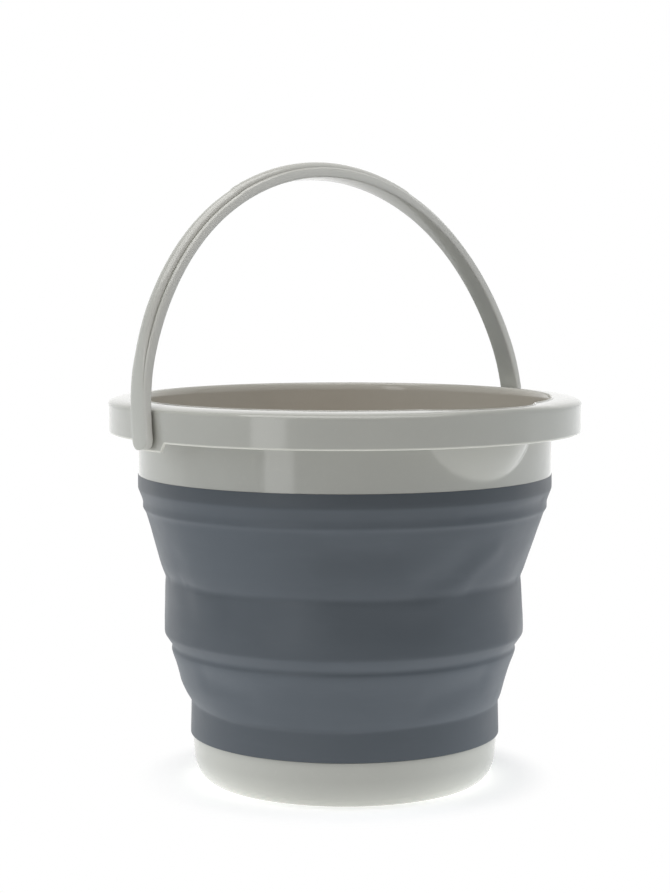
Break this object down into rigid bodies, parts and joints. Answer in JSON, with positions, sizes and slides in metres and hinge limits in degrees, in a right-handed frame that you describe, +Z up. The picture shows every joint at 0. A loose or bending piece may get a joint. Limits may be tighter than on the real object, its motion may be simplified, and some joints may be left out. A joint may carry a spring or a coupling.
{
  "type": "collapsible bucket",
  "caption": "Round bucket with a rigid rim, pouring lip and base, a soft bellows wall that folds flat, and a swinging bail handle",
  "frame": {"origin": "middle of the foot ring, on the table", "axes": "+Z up, the bail turns about a line along X and stands across the bucket, and the pouring lip faces -Y"},
  "size_m": [0.3254, 0.31, 0.4072],
  "materials": {
    "pale_plastic": "glossy, slightly warm light grey",
    "bellows_rubber": "satin blue-grey, soft to the touch"
  },
  "bodies": {
    "base": {"base_cup": "pale_plastic", "bellows_lower_collar": "bellows_rubber", "lower_fold_web": "bellows_rubber"},
    "middle": {"bellows_middle_ring": "bellows_rubber", "upper_fold_web": "bellows_rubber"},
    "rim": {"rim_ring": "pale_plastic", "bellows_upper_collar": "bellows_rubber"},
    "bail": {"bail_handle": "pale_plastic"}
  },
  "joints": [
    {"name": "lower_fold", "type": "slide", "parent": "base", "child": "middle", "axis": [0, 0, -1], "range_m": [0, 0.0735], "deforming": ["lower_fold_web"]},
    {"name": "upper_fold", "type": "slide", "parent": "middle", "child": "rim", "axis": [0, 0, -1], "range_m": [0, 0.115], "deforming": ["upper_fold_web"]},
    {"name": "bail_swing", "type": "hinge", "parent": "rim", "child": "bail", "pos_m": [0, 0.0042, 0.236], "axis": [1, 0, 0], "range_deg": [-93, 107]}
  ]
}
